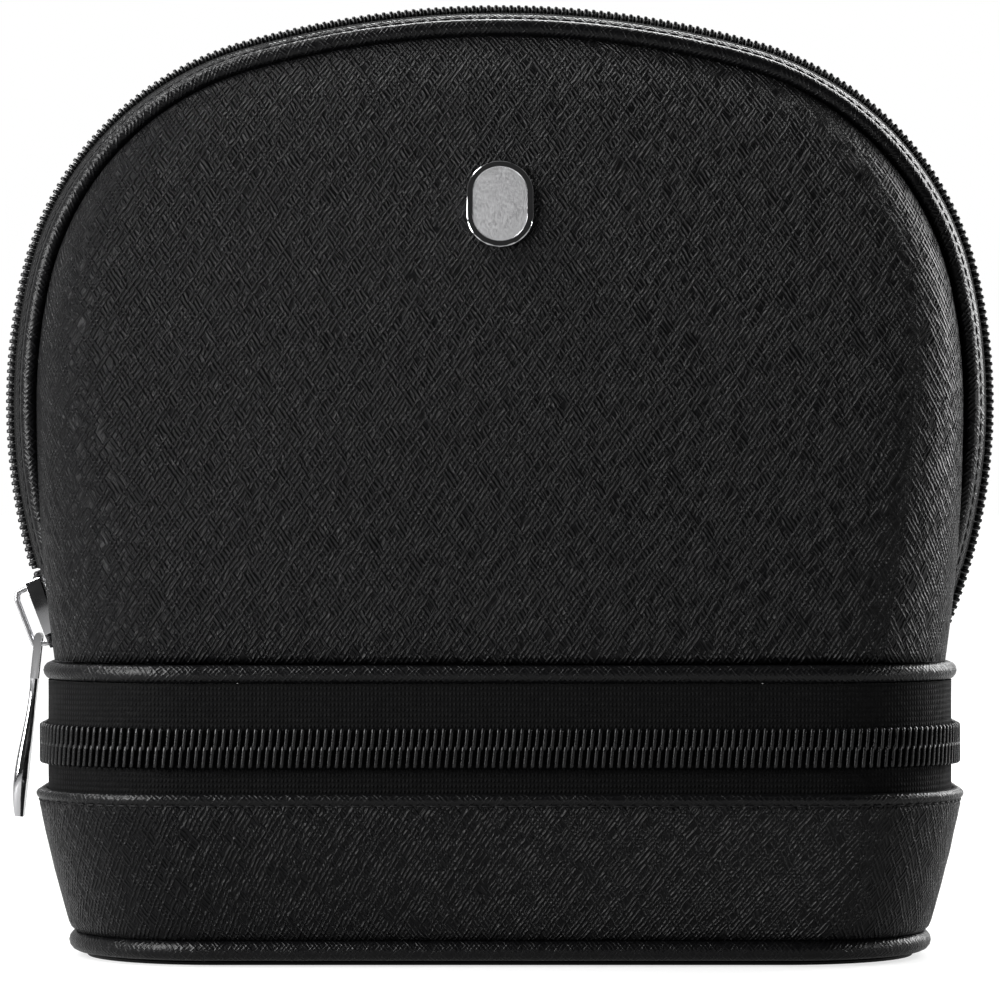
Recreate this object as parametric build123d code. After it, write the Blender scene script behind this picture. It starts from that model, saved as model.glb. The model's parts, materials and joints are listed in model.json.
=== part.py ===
# A two-tier dome cosmetic bag in saffiano leatherette, in millimetres.
# X runs across the bag, +Y to its back, +Z up, with the origin under the middle of the base.
# The lower tray opens round its zip and the upper bag tilts back on a hinge strip.
# The upper bag opens over the arch, where the front shell falls forward.
from build123d import *
from math import asin, atan2, cos, degrees, radians, sin, sqrt
import os

# Arch outline, seen from the front: side, shoulder and top arcs, tangent to each other.
arch_height = 200.6
arch_half_width = 105.0
side_arc_radius = 123.7
side_arc_centre_z = 115.8
shoulder_start_angle = 12.5
shoulder_radius = 67.7

# Base and lower tray.
base_half_width = 88.4
base_half_depth = 42.4
plan_corner_radius = 30.0
base_panel_thickness = 1.2
base_board_thickness = 4.0
base_piping_radius = 2.2
base_piping_centre_z = 3.2
wall_foot_z = 5.5
wall_top_z = 35.2
wall_top_half_width = 96.8
wall_top_half_depth = 49.0
wall_foot_half_width = 90.0
wall_foot_half_depth = 44.3
wall_bulge = 0.4
leather_thickness = 1.2
board_thickness = 1.6
lining_thickness = 0.6
layer_gap = 0.15
fold_height = 6.5

# Zip chain, tapes and stops, common to both zips.
chain_half_width = 4.2
chain_groove = 1.3
coil_height = 2.0
tape_thickness = 0.6
stop_length = 2.4
stop_foot_gap = 0.75
chain_end_run = 1.0

# Sliders and their pulls.
slider_length = 15.0
slider_clearance = 0.35
slider_wing = 1.1
slider_flange = 1.0
slider_neck_length = 2.4
slider_neck_width = 0.6
slider_nose_width = 7.4
crown_width = 1.9
crown_height = 3.8
crown_strap = 1.1
crown_tail_inset = 0.6
crown_bend_inset = 1.0
crown_bend_share = 0.8
crown_top_inset = 2.9
crown_front_inset = 1.6
crown_nose_inset = 0.3
pull_bar_radius = 0.75
pull_bar_along = 4.2
pull_bar_height = 5.1
pull_leg_width = 1.0
pull_leg_length = 9.0
pull_length = 38.5
pull_top_width = 4.8
pull_end_width = 8.6
pull_top_thickness = 1.6
pull_end_thickness = 3.0
pull_lean = 6.0
ring_link_radius = 3.4
ring_link_wire = 0.7
ring_link_drop = 0.6
ring_link_height = 8.1

# Zip band between the tray and the upper bag.
band_half_width = 94.7
band_half_depth = 45.4
band_chain_z = 44.7
body_gap = 0.4
hinge_strip_half_width = 58.0
hinge_strip_thickness = 1.0
band_foot_half_width = 91.3
band_slider_angle = 48.0
band_stop_angle = 66.5

# Blocks that only cut reach this far past the pieces that they cut.
beyond_bag = 200.0
cut_reach = 20.0
cut_drop = 5.0

# Seam ring and floor between the two compartments.
ring_radius = 1.9
ring_centre_z = 59.8
ring_half_width = 93.9
ring_half_depth = 45.0
divider_board_thickness = 1.8

# Upper shells: depth from the middle of the bag, and width inside the arch.
shell_foot_clearance = 0.3
shell_foot_half_width = 93.2
shell_foot_half_depth = 46.0
shell_shoulder_half_depth = 24.5
shell_shoulder_z = 182.0
shell_inset = 8.0
shell_slope_power = 1.25
shell_cap_drop = 0.7
shell_cap_step = 2.6
seam_half_depth = 16.8
seam_inset = 6.6
seam_run = 1.5

# Arch gusset: piping, facing strips and the arch zip. Depths are from the middle of the bag.
piping_radius = 1.7
piping_inset = 6.2
piping_flange = 0.8
piping_flange_width = 5.0
tape_kink_half_depth = 6.0
tape_edge_half_depth = 12.0
gusset_slope = 0.58
facing_edge_half_depth = 9.3
facing_thickness = 1.0
facing_turn_width = 4.0
arch_foot_angle = -16.4
arch_slider_angle = -21.0
end_tab_top_z = 64.6

# Plain metal badge, held by two prongs and a backing plate.
badge_width = 14.0
badge_height = 18.5
badge_thickness = 1.2
badge_z = 156.5
badge_seat = 0.1
prong_radius = 0.6
prong_clearance = 0.2
prong_spacing = 9.0
prong_hole_length = 8.0
backing_width = 4.0
backing_height = 13.0
backing_thickness = 0.8
backing_depth = 2.0


# Side arc centres stand on the far side of the middle, so the arch draws in towards its foot.
side_centre_x = arch_half_width - side_arc_radius
shoulder_reach = side_arc_radius - shoulder_radius
shoulder_centre_x = side_centre_x + shoulder_reach * cos(radians(shoulder_start_angle))
shoulder_centre_z = side_arc_centre_z + shoulder_reach * sin(radians(shoulder_start_angle))
shoulder_drop = shoulder_centre_z - arch_height
top_arc_radius = (shoulder_radius**2 - shoulder_centre_x**2 - shoulder_drop**2) / 2
top_arc_radius = top_arc_radius / (shoulder_drop + shoulder_radius)
top_centre_z = arch_height - top_arc_radius
top_start_angle = degrees(atan2(shoulder_centre_z - top_centre_z, shoulder_centre_x))

# Heights and gaps that follow from the driving values.
shell_foot_z = ring_centre_z + ring_radius + shell_foot_clearance
shell_top_z = arch_height - shell_inset
half_groove = chain_groove / 2
lower_coil_top_z = band_chain_z - half_groove
upper_coil_foot_z = band_chain_z + half_groove
tape_foot_z = wall_top_z - fold_height
tape_top_z = ring_centre_z - ring_radius
band_corner_x = band_half_width - plan_corner_radius
band_corner_y = band_half_depth - plan_corner_radius
slider_channel = chain_half_width + slider_clearance


def arc_point(centre_x, centre_z, radius, angle):
    """A point of an outline arc, at an angle above the horizontal."""
    return centre_x + radius * cos(radians(angle)), centre_z + radius * sin(radians(angle))


def arch_half_width_at(z, inset):
    """Half width of the arch, drawn in by an inset, at a height."""
    side_top = side_arc_centre_z + (side_arc_radius - inset) * sin(radians(shoulder_start_angle))
    shoulder_top = top_centre_z + (top_arc_radius - inset) * sin(radians(top_start_angle))
    if z <= side_top:
        return side_centre_x + sqrt((side_arc_radius - inset) ** 2 - (z - side_arc_centre_z) ** 2)
    if z <= shoulder_top:
        return shoulder_centre_x + sqrt((shoulder_radius - inset) ** 2 - (z - shoulder_centre_z) ** 2)
    return sqrt(max((top_arc_radius - inset) ** 2 - (z - top_centre_z) ** 2, 0.01))


def arch_line(inset, foot_z):
    """The arch outline, drawn in by an inset, from its right foot over the top to its left foot."""
    side = side_arc_radius - inset
    shoulder = shoulder_radius - inset
    foot_angle = degrees(asin((foot_z - side_arc_centre_z) / side))
    middle_angle = (foot_angle + shoulder_start_angle) / 2
    turn_angle = (shoulder_start_angle + top_start_angle) / 2
    points = [
        arc_point(side_centre_x, side_arc_centre_z, side, foot_angle),
        arc_point(side_centre_x, side_arc_centre_z, side, middle_angle),
        arc_point(side_centre_x, side_arc_centre_z, side, shoulder_start_angle),
        arc_point(shoulder_centre_x, shoulder_centre_z, shoulder, turn_angle),
        arc_point(shoulder_centre_x, shoulder_centre_z, shoulder, top_start_angle),
    ]
    right = [Vector(x, 0, z) for x, z in points]
    left = [Vector(-p.X, 0, p.Z) for p in reversed(right)]
    top = Vector(0, 0, arch_height - inset)
    return [
        ThreePointArc(right[0], right[1], right[2]),
        ThreePointArc(right[2], right[3], right[4]),
        ThreePointArc(right[4], top, left[0]),
        ThreePointArc(left[0], left[1], left[2]),
        ThreePointArc(left[2], left[3], left[4]),
    ]


def arch_face(outer_inset, inner_inset, foot_z):
    """A flat face between two insets of the arch."""
    outer = arch_line(outer_inset, foot_z)
    inner = arch_line(inner_inset, foot_z)
    left_end = Line(outer[-1] @ 1, inner[-1] @ 1)
    right_end = Line(inner[0] @ 0, outer[0] @ 0)
    return make_face([*outer, left_end, *inner, right_end])


def arch_band(outer_inset, inner_inset, front_y, back_y, foot_z):
    """A strip that follows the arch, between two insets and two depths."""
    face = arch_face(outer_inset, inner_inset, foot_z)
    return Pos(0, front_y, 0) * extrude(face, amount=back_y - front_y, dir=(0, 1, 0))


def sloped_band(inset, thickness, front_y, back_y, foot_z):
    """A strip of even thickness that draws in from its back edge to its front edge."""
    drawn_in = inset + gusset_slope * (back_y - front_y)
    front = Pos(0, front_y, 0) * arch_face(drawn_in, drawn_in + thickness, foot_z)
    back = Pos(0, back_y, 0) * arch_face(inset, inset + thickness, foot_z)
    return loft([front, back], ruled=True)


def rounded_plan(half_width, half_depth, z, inset=0.0):
    """A horizontal rounded rectangle at a height, its corners concentric with the others."""
    plan = RectangleRounded(2 * (half_width - inset), 2 * (half_depth - inset), plan_corner_radius - inset)
    return Pos(0, 0, z) * plan


def plan_block(half_width, half_depth, foot_z, top_z, inset=0.0):
    """An upright block with the bag's rounded plan."""
    return extrude(rounded_plan(half_width, half_depth, foot_z, inset), amount=top_z - foot_z)


def band_ring(outer_offset, thickness, foot_z, top_z):
    """An upright ring that follows the zip band, from an offset outside the tape line inwards."""
    outer = plan_block(band_half_width, band_half_depth, foot_z, top_z, -outer_offset)
    return outer - plan_block(band_half_width, band_half_depth, foot_z, top_z, thickness - outer_offset)


def piping_ring(half_width, half_depth, z, radius):
    """A round cord that runs once round the bag's plan."""
    path = rounded_plan(half_width, half_depth, z).wire()
    section = Plane(origin=path @ 0, z_dir=path % 0) * Circle(radius)
    return sweep(section, path=path)


def box_between(low, high):
    """A plain block from one corner to the other."""
    size = [b - a for a, b in zip(low, high)]
    return Pos(*[(a + b) / 2 for a, b in zip(low, high)]) * Box(*size)


def back_zone(half_width):
    """A cutting block over the middle of the back, over the height of the band."""
    return box_between((-half_width, 0, tape_foot_z - 1), (half_width, 2 * band_half_depth, tape_top_z + 1))


def tray_body(inset, foot_z, top_z):
    """The lower tray's outer form, drawn in by an inset, between two heights."""
    rise = wall_top_z - wall_foot_z
    sections = []
    for z in (foot_z, (foot_z + top_z) / 2, top_z):
        share = (z - wall_foot_z) / rise
        swell = 4 * wall_bulge * share * (1 - share)
        width = wall_foot_half_width + (wall_top_half_width - wall_foot_half_width) * share + swell
        depth = wall_foot_half_depth + (wall_top_half_depth - wall_foot_half_depth) * share + swell
        sections.append(rounded_plan(width, depth, z, inset))
    return loft(sections)


def shell_half_width_at(z):
    """Half width of the upper shells, outside, at a height."""
    if z >= side_arc_centre_z:
        return arch_half_width_at(z, shell_inset)
    share = (side_arc_centre_z - z) / (side_arc_centre_z - shell_foot_z)
    widest = arch_half_width - shell_inset
    return widest - (widest - shell_foot_half_width) * share**2


def shell_half_depth_at(z):
    """Half depth of the upper shells, outside, at a height, with the roll over the top edge."""
    share = max((z - shell_foot_z) / (shell_shoulder_z - shell_foot_z), 0)
    fall = (shell_foot_half_depth - shell_shoulder_half_depth) * share**shell_slope_power
    straight = shell_foot_half_depth - fall
    if z <= shell_shoulder_z:
        return straight
    roll = min((z - shell_shoulder_z) / (shell_top_z - shell_shoulder_z), 1.0)
    rim = seam_half_depth + 2 * seam_run
    return rim + (straight - rim) * sqrt(1 - roll**2)


def shell_section(z, inset):
    """One level of the front shell: straight back edge, flared seam, rounded front corners."""
    width = shell_half_width_at(z) - inset
    depth = shell_half_depth_at(z) - inset
    seam = arch_half_width_at(z, seam_inset) - inset
    seam_y = -seam_half_depth
    side_y = -seam_half_depth - seam_run
    corner = min(plan_corner_radius, depth + side_y - 0.2, width / 2)
    across = corner * (1 - sqrt(0.5))
    outline = [
        Line((seam, seam_y), (width, side_y)),
        Line((width, side_y), (width, -depth + corner)),
        ThreePointArc((width, -depth + corner), (width - across, -depth + across), (width - corner, -depth)),
        Line((width - corner, -depth), (-width + corner, -depth)),
        ThreePointArc((-width + corner, -depth), (-width + across, -depth + across), (-width, -depth + corner)),
        Line((-width, -depth + corner), (-width, side_y)),
        Line((-width, side_y), (-seam, seam_y)),
        Line((-seam, seam_y), (seam, seam_y)),
    ]
    return Pos(0, 0, z) * make_face(outline)


def shell_body(inset, cap_z, foot_drop=0.0):
    """The space that one upper shell wraps, drawn in by an inset, up to a flat cap."""
    rise = shell_top_z - shell_cap_drop - shell_foot_z
    shares = [0, 0.08, 0.16, 0.25, 0.34, 0.43, 0.52, 0.6, 0.68, 0.75, 0.81, 0.86]
    shares += [0.89 + 0.01 * step for step in range(11)]
    levels = [shell_foot_z + rise * share for share in shares]
    levels = [z for z in levels if z < cap_z - 0.3] + [cap_z]
    sections = [shell_section(z, inset) for z in levels]
    body = loft(sections, ruled=True)
    if foot_drop:
        body += extrude(sections[0], amount=foot_drop, dir=(0, 0, -1))
    return body


def shell_layer(outer_inset, thickness):
    """One layer of the front shell: open at the back and underneath."""
    cap_z = shell_top_z - shell_cap_drop - shell_cap_step * outer_inset
    outer = shell_body(outer_inset, cap_z)
    inner = shell_body(outer_inset + thickness, cap_z - thickness, 1)
    return outer - inner


def mirrored(shape):
    """The same piece on the back of the bag."""
    return mirror(shape, about=Plane.XZ)


def slider_block(extra_height=0.0):
    """A solid zip slider. Its nose points along +Y, the tape lies on Z = 0 and its outer face is up."""
    half_length = slider_length / 2
    half_width = slider_channel + slider_flange
    top = coil_height + slider_clearance + slider_wing + extra_height
    foot = -tape_thickness - slider_clearance - slider_wing - extra_height
    nose = slider_nose_width / 2
    tail = half_width - slider_flange / 2
    shoulder_y = half_length - slider_flange * 3
    right = [(tail, -half_length), (half_width, -half_length / 2), (half_width, shoulder_y), (nose, half_length)]
    left = [(-x, y) for x, y in reversed(right)]
    plan = make_face(Polyline(*right, *left, close=True))
    plan = fillet(plan.vertices(), slider_flange / 2)
    return Pos(0, 0, foot) * extrude(plan, amount=top - foot)


def slider_neck():
    """The thin post that joins a slider's two plates, between the two rows of coil."""
    half_length = slider_length / 2
    top = coil_height + slider_clearance + slider_wing / 2
    foot = -tape_thickness - slider_clearance - slider_wing / 2
    half_neck = slider_neck_width / 2
    low = (-half_neck, half_length - slider_flange - slider_neck_length, foot)
    return box_between(low, (half_neck, half_length - slider_flange, top))


def slider_crown(extra_height=0.0):
    """The strap over the slider that the pull hangs in."""
    foot = coil_height + slider_clearance + slider_wing + extra_height
    half_length = slider_length / 2
    outline = Polyline(
        (-half_length + crown_tail_inset, foot - crown_strap),
        (-half_length + crown_bend_inset, foot + crown_height * crown_bend_share),
        (-half_length + crown_top_inset, foot + crown_height),
        (half_length - crown_front_inset, foot + crown_height),
        (half_length - crown_nose_inset, foot - crown_strap),
        close=True,
    )
    outer = make_face(outline)
    outer = fillet(outer.vertices(), crown_strap * 0.8)
    inner = offset(outer, amount=-crown_strap)
    strap = extrude(Plane.YZ * (outer - inner), amount=crown_width / 2, both=True)
    return strap - box_between((-slider_length, -slider_length, -slider_length), (slider_length, slider_length, foot))


def pull_tab():
    """A puller that hangs along -Z from its round bar at the origin. Its outer face looks along +Y."""
    bar = Rot(0, 90, 0) * Cylinder(pull_bar_radius, pull_top_width)
    leg_x = (pull_top_width - pull_leg_width) / 2
    leg_size = (pull_leg_width, pull_top_thickness, pull_leg_length)
    legs = [Pos(side * leg_x, 0, -pull_leg_length / 2) * Box(*leg_size) for side in (-1, 1)]
    sections = []
    for share, shrink in ((0, 1.0), (0.45, 1.0), (0.85, 0.93), (1.0, 0.6)):
        width = (pull_top_width + (pull_end_width - pull_top_width) * share) * shrink
        thick = (pull_top_thickness + (pull_end_thickness - pull_top_thickness) * share) * shrink
        z = -pull_leg_length - (pull_length - pull_leg_length) * share
        shift = (thick - pull_top_thickness) / 2
        sections.append(Pos(0, shift, z) * RectangleRounded(width, thick, thick * 0.42))
    return bar + legs[0] + legs[1] + loft(sections)


def stop_clamp():
    """The metal clamp at the end of a zip chain, on the slider's axes."""
    low = (-chain_half_width, -stop_length / 2, layer_gap)
    block = box_between(low, (chain_half_width, stop_length / 2, coil_height + 0.4))
    return fillet(block.edges().filter_by(Axis.Y).group_by(Axis.Z)[-1], coil_height * 0.4)


def stop_room():
    """The length of coil that a stop takes up, on the slider's axes."""
    half_length = stop_length / 2 + layer_gap
    return Box(4 * chain_half_width, 2 * half_length, 4 * coil_height)


def arch_plane(angle, side):
    """Slider axes on the side arc, nose down the arch. Side is -1 on the left."""
    x, z = arc_point(side_centre_x, side_arc_centre_z, side_arc_radius - coil_height, angle)
    outward = Vector(side * cos(radians(angle)), 0, sin(radians(angle)))
    return Plane(origin=(side * x, 0, z), x_dir=(0, -side, 0), z_dir=outward)


def band_plane(angle, side):
    """Slider axes on a rear corner of the band, nose towards the middle of the back."""
    x = side * (band_corner_x + plan_corner_radius * cos(radians(angle)))
    y = band_corner_y + plan_corner_radius * sin(radians(angle))
    outward = Vector(side * cos(radians(angle)), sin(radians(angle)), 0)
    return Plane(origin=(x, y, band_chain_z), x_dir=(0, 0, -side), z_dir=outward)


parts = {}

# Lower tray: base, wall, boards and lining.
base_top_z = base_panel_thickness
board_base_z = base_top_z + layer_gap
board_inset = leather_thickness + layer_gap
cup_inset = board_inset + board_thickness + layer_gap
wall_board_top_z = tape_foot_z - layer_gap
base_edge = base_piping_radius * 0.6
parts["base_panel"] = plan_block(base_half_width, base_half_depth, 0, base_top_z, base_edge)
parts["base_board"] = plan_block(
    base_half_width, base_half_depth, board_base_z, board_base_z + base_board_thickness, base_piping_radius + layer_gap
)
base_cord = piping_ring(base_half_width, base_half_depth, base_piping_centre_z, base_piping_radius)
base_core = plan_block(base_half_width, base_half_depth, 0, base_top_z + layer_gap, base_edge - layer_gap)
parts["base_piping"] = base_cord - base_core

outer_wall = tray_body(0, wall_foot_z, wall_top_z)
wall_hollow = tray_body(leather_thickness, wall_foot_z, wall_top_z)
wall_hollow = wall_hollow & box_between((-beyond_bag, -beyond_bag, wall_foot_z - 1), (beyond_bag, beyond_bag, wall_board_top_z))
fold_hollow = plan_block(band_half_width, band_half_depth, wall_board_top_z - 1, wall_top_z + 1, -layer_gap)
parts["lower_wall"] = outer_wall - wall_hollow - fold_hollow

wall_board = tray_body(board_inset, wall_foot_z, wall_board_top_z)
parts["lower_wall_board"] = wall_board - tray_body(board_inset + board_thickness, wall_foot_z, wall_board_top_z)

cup = tray_body(cup_inset, wall_foot_z, wall_board_top_z)
cup_hollow = tray_body(cup_inset + lining_thickness, wall_foot_z, wall_board_top_z)
cup_floor_top = wall_foot_z + lining_thickness
cup_hollow = cup_hollow & box_between((-beyond_bag, -beyond_bag, cup_floor_top), (beyond_bag, beyond_bag, wall_top_z))
parts["lower_lining"] = cup - cup_hollow

# Lower half of the band zip and the tray's half of the hinge strip.
chain_foot_z = band_chain_z - chain_half_width
chain_head_z = band_chain_z + chain_half_width
stop_x = band_corner_x + plan_corner_radius * cos(radians(band_stop_angle))
chain_end_x = stop_x - chain_end_run
band_stop_axes = [band_plane(band_stop_angle, side) for side in (-1, 1)]
band_stop_rooms = [axes * stop_room() for axes in band_stop_axes]
strip_gap_x = hinge_strip_half_width + layer_gap
lower_tape = band_ring(0, tape_thickness, tape_foot_z, lower_coil_top_z)
parts["lower_tape"] = lower_tape - back_zone(strip_gap_x)
lower_coil = band_ring(coil_height, coil_height, chain_foot_z, lower_coil_top_z)
parts["lower_coil"] = lower_coil - back_zone(chain_end_x) - band_stop_rooms[0] - band_stop_rooms[1]
strip_lower = band_ring(0, hinge_strip_thickness, tape_foot_z, band_chain_z - body_gap / 2)
parts["hinge_strip_lower"] = strip_lower & back_zone(hinge_strip_half_width)

# The band zip's closed ends stay with the tray, so the lid leaves them behind when it opens.
feet_zone = back_zone(band_foot_half_width) - back_zone(hinge_strip_half_width + body_gap)
feet_coil_zone = back_zone(band_foot_half_width) - back_zone(chain_end_x)
upper_tape = band_ring(0, tape_thickness, upper_coil_foot_z, tape_top_z)
upper_coil = band_ring(coil_height, coil_height, upper_coil_foot_z, chain_head_z)
foot_tape = band_ring(0, tape_thickness, upper_coil_foot_z, tape_top_z - 2 * body_gap)
foot_tape = foot_tape & feet_zone
foot_bridge = band_ring(-tape_thickness - layer_gap, tape_thickness, chain_foot_z, chain_head_z)
bridge_zone = back_zone(stop_x) - back_zone(hinge_strip_half_width + body_gap)
parts["band_tape_feet"] = foot_tape
parts["band_foot_bridges"] = foot_bridge & bridge_zone
coil_feet = upper_coil & feet_coil_zone
parts["band_coil_feet"] = coil_feet - band_stop_rooms[0] - band_stop_rooms[1]
parts["band_stops"] = Compound(children=[axes * stop_clamp() for axes in band_stop_axes])

# Upper bag: the lid's half of the band zip, the seam ring and the floor.
lid_gap_zone = back_zone(band_foot_half_width + body_gap)
parts["upper_tape"] = upper_tape - lid_gap_zone
parts["upper_coil"] = upper_coil - lid_gap_zone
strip_upper = band_ring(0, hinge_strip_thickness, band_chain_z + body_gap / 2, tape_top_z)
parts["hinge_strip_upper"] = strip_upper & back_zone(hinge_strip_half_width)

divider_inset = ring_radius * 0.5 + layer_gap
seam_ring = piping_ring(ring_half_width, ring_half_depth, ring_centre_z, ring_radius)
seam_core = plan_block(ring_half_width, ring_half_depth, tape_top_z - 1, shell_foot_z, ring_radius * 0.5)
parts["seam_piping"] = seam_ring - seam_core
board_low_z = ring_centre_z - divider_board_thickness / 2
board_high_z = ring_centre_z + divider_board_thickness / 2
under_low_z = board_low_z - layer_gap - lining_thickness
floor_low_z = board_high_z + layer_gap
parts["divider_underside"] = plan_block(
    ring_half_width, ring_half_depth, under_low_z, under_low_z + lining_thickness, divider_inset
)
parts["divider_board"] = plan_block(ring_half_width, ring_half_depth, board_low_z, board_high_z, divider_inset)
parts["divider_floor"] = plan_block(
    ring_half_width, ring_half_depth, floor_low_z, floor_low_z + lining_thickness, divider_inset
)

# Upper shells: leather, stiffener board and lining, front and back.
board_shell_inset = leather_thickness + layer_gap
lining_shell_inset = board_shell_inset + board_thickness + layer_gap
leather_shell = shell_layer(0, leather_thickness)
board_shell = shell_layer(board_shell_inset, board_thickness)
lining_shell = shell_layer(lining_shell_inset, lining_thickness)
parts["back_panel"] = mirrored(leather_shell)
parts["back_stiffener"] = mirrored(board_shell)
parts["back_lining"] = mirrored(lining_shell)

# Arch piping with its sewn flange, and the leather facing that the tape is sewn to.
flange_front_y = -seam_half_depth + layer_gap
flange_back_y = -seam_half_depth + piping_flange
flange = arch_band(piping_inset, piping_inset + piping_flange_width, flange_front_y, flange_back_y, shell_foot_z)
piping_path = Wire(arch_line(piping_inset, shell_foot_z - 2))
piping_section = Plane(origin=piping_path @ 0, z_dir=piping_path % 0) * Circle(piping_radius)
piping_y = flange_back_y - piping_radius
piping_cord = Pos(0, piping_y, 0) * sweep(piping_section, path=piping_path)
below_foot = box_between((-beyond_bag, -beyond_bag, 0), (beyond_bag, beyond_bag, shell_foot_z))
inner_zone = arch_band(seam_inset + layer_gap, seam_inset + cut_reach, -beyond_bag, 0, shell_foot_z - cut_drop)
clear_shell = shell_body(-layer_gap, shell_top_z - shell_cap_drop + layer_gap)
front_piping = piping_cord - below_foot - inner_zone - clear_shell + flange
facing_front_y = flange_back_y + layer_gap
facing_run = facing_edge_half_depth - tape_kink_half_depth
facing_inset = coil_height + gusset_slope * facing_run - layer_gap - facing_thickness
facing_strip = sloped_band(facing_inset, facing_thickness, facing_front_y, -facing_edge_half_depth, shell_foot_z)
turn_inset = facing_inset + gusset_slope * (-facing_edge_half_depth - facing_front_y) + facing_thickness / 2
facing_turn = arch_band(
    turn_inset, turn_inset + facing_turn_width, facing_front_y, facing_front_y + facing_thickness, shell_foot_z
)
front_facing = facing_strip + facing_turn
parts["back_piping"] = mirrored(front_piping)
parts["back_facing"] = mirrored(front_facing)

# Arch zip: each half is a tape and a coil. Both closed ends stay with the upper bag.
foot_line_z = arc_point(side_centre_x, side_arc_centre_z, side_arc_radius, arch_foot_angle)[1]
above_feet = box_between((-beyond_bag, -beyond_bag, foot_line_z), (beyond_bag, beyond_bag, 2 * arch_height))
under_feet = box_between((-beyond_bag, -beyond_bag, 0), (beyond_bag, beyond_bag, foot_line_z - body_gap))
flat_tape = arch_band(
    coil_height, coil_height + tape_thickness, -tape_kink_half_depth, -half_groove, shell_foot_z
)
edge_tape = sloped_band(
    coil_height, tape_thickness, -tape_edge_half_depth, -tape_kink_half_depth, shell_foot_z
)
sewn_tape = flat_tape + edge_tape
stop_z = shell_foot_z + stop_length * 0.5 + stop_foot_gap
stop_angle = degrees(asin((stop_z - side_arc_centre_z) / (side_arc_radius - coil_height)))
stop_axes = [arch_plane(stop_angle, side) for side in (-1, 1)]
stop_rooms = [axes * stop_room() for axes in stop_axes]
coil_band = arch_band(0, coil_height, -chain_half_width, -half_groove, shell_foot_z)
coil_band = coil_band - stop_rooms[0] - stop_rooms[1]
clear_of_facing = box_between((-beyond_bag, -facing_edge_half_depth + body_gap, 0), (beyond_bag, beyond_bag, 2 * arch_height))
parts["back_tape"] = mirrored(sewn_tape)
parts["back_coil"] = mirrored(coil_band)
parts["arch_tape_feet"] = sewn_tape & under_feet & clear_of_facing
parts["arch_coil_feet"] = coil_band & under_feet
tab_top = box_between((-beyond_bag, -beyond_bag, 0), (beyond_bag, beyond_bag, end_tab_top_z))
tab_inset = coil_height + tape_thickness + layer_gap
end_tabs = arch_band(
    tab_inset, tab_inset + facing_thickness, -tape_kink_half_depth, tape_kink_half_depth, shell_foot_z
)
parts["arch_end_tabs"] = end_tabs & tab_top
parts["arch_stops"] = Compound(children=[axes * stop_clamp() for axes in stop_axes])

# Front shell: the flap that falls forward when the arch zip is open.
badge_depth = shell_half_depth_at(badge_z)
badge_tilt = atan2(shell_half_depth_at(badge_z - 1) - shell_half_depth_at(badge_z + 1), 2)
badge_out = Vector(0, -cos(badge_tilt), sin(badge_tilt))
badge_plane = Plane(origin=(0, -badge_depth, badge_z), x_dir=(1, 0, 0), z_dir=badge_out)
backing_top = -backing_depth
backing_space = Pos(0, 0, backing_top - backing_thickness / 2) * Box(
    backing_width + 2 * prong_clearance, backing_height + 2 * prong_clearance, backing_thickness + 2 * layer_gap
)
prong_length = badge_seat + badge_thickness / 2 - backing_top + backing_thickness / 2
prong_middle = badge_seat + badge_thickness / 2 - prong_length / 2
prongs = [Pos(0, side * prong_spacing / 2, prong_middle) * Cylinder(prong_radius, prong_length) for side in (-1, 1)]
prong_hole = Cylinder(prong_radius + prong_clearance, prong_hole_length)
prong_hole_middle = badge_seat / 2 - prong_hole_length / 2
prong_holes = [Pos(0, side * prong_spacing / 2, prong_hole_middle) * prong_hole for side in (-1, 1)]
badge_cut = badge_plane * (prong_holes[0] + prong_holes[1])
plate_face = Pos(0, 0, badge_seat) * SlotOverall(badge_height, badge_width, rotation=90)
badge_face_plate = extrude(plate_face, amount=badge_thickness, dir=(0, 0, 1))
backing_plate = Pos(0, 0, backing_top - backing_thickness / 2) * Box(backing_width, backing_height, backing_thickness)
parts["front_panel"] = leather_shell - badge_cut
parts["front_stiffener"] = board_shell - badge_cut - badge_plane * backing_space
parts["front_lining"] = lining_shell
parts["front_piping"] = front_piping
parts["front_facing"] = front_facing
parts["front_tape"] = sewn_tape & above_feet
parts["front_coil"] = coil_band & above_feet
parts["badge_plate"] = badge_plane * (badge_face_plate + prongs[0] + prongs[1])
parts["badge_backing"] = badge_plane * backing_plate - parts["badge_plate"]

# Arch slider, cut to the arch zip's own run, with its pull hanging on the left side.
arch_axes = arch_plane(arch_slider_angle, -1)
arch_channel = arch_band(
    -slider_clearance, coil_height + tape_thickness + slider_clearance, -slider_channel, slider_channel, shell_foot_z - cut_reach
)
arch_slot = arch_band(
    coil_height - slider_clearance, coil_height + tape_thickness + slider_clearance, -cut_reach, cut_reach, shell_foot_z - cut_reach
)
parts["arch_slider"] = arch_axes * slider_block() - arch_channel - arch_slot + arch_axes * slider_neck()
parts["arch_slider_crown"] = arch_axes * slider_crown()
bar_place = arch_axes.from_local_coords((0, pull_bar_along, pull_bar_height))
lean = radians(pull_lean)
pull_axes = Plane(origin=bar_place, x_dir=(0, 1, 0), z_dir=(sin(lean), 0, cos(lean)))
parts["arch_pull"] = pull_axes * pull_tab()

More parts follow.
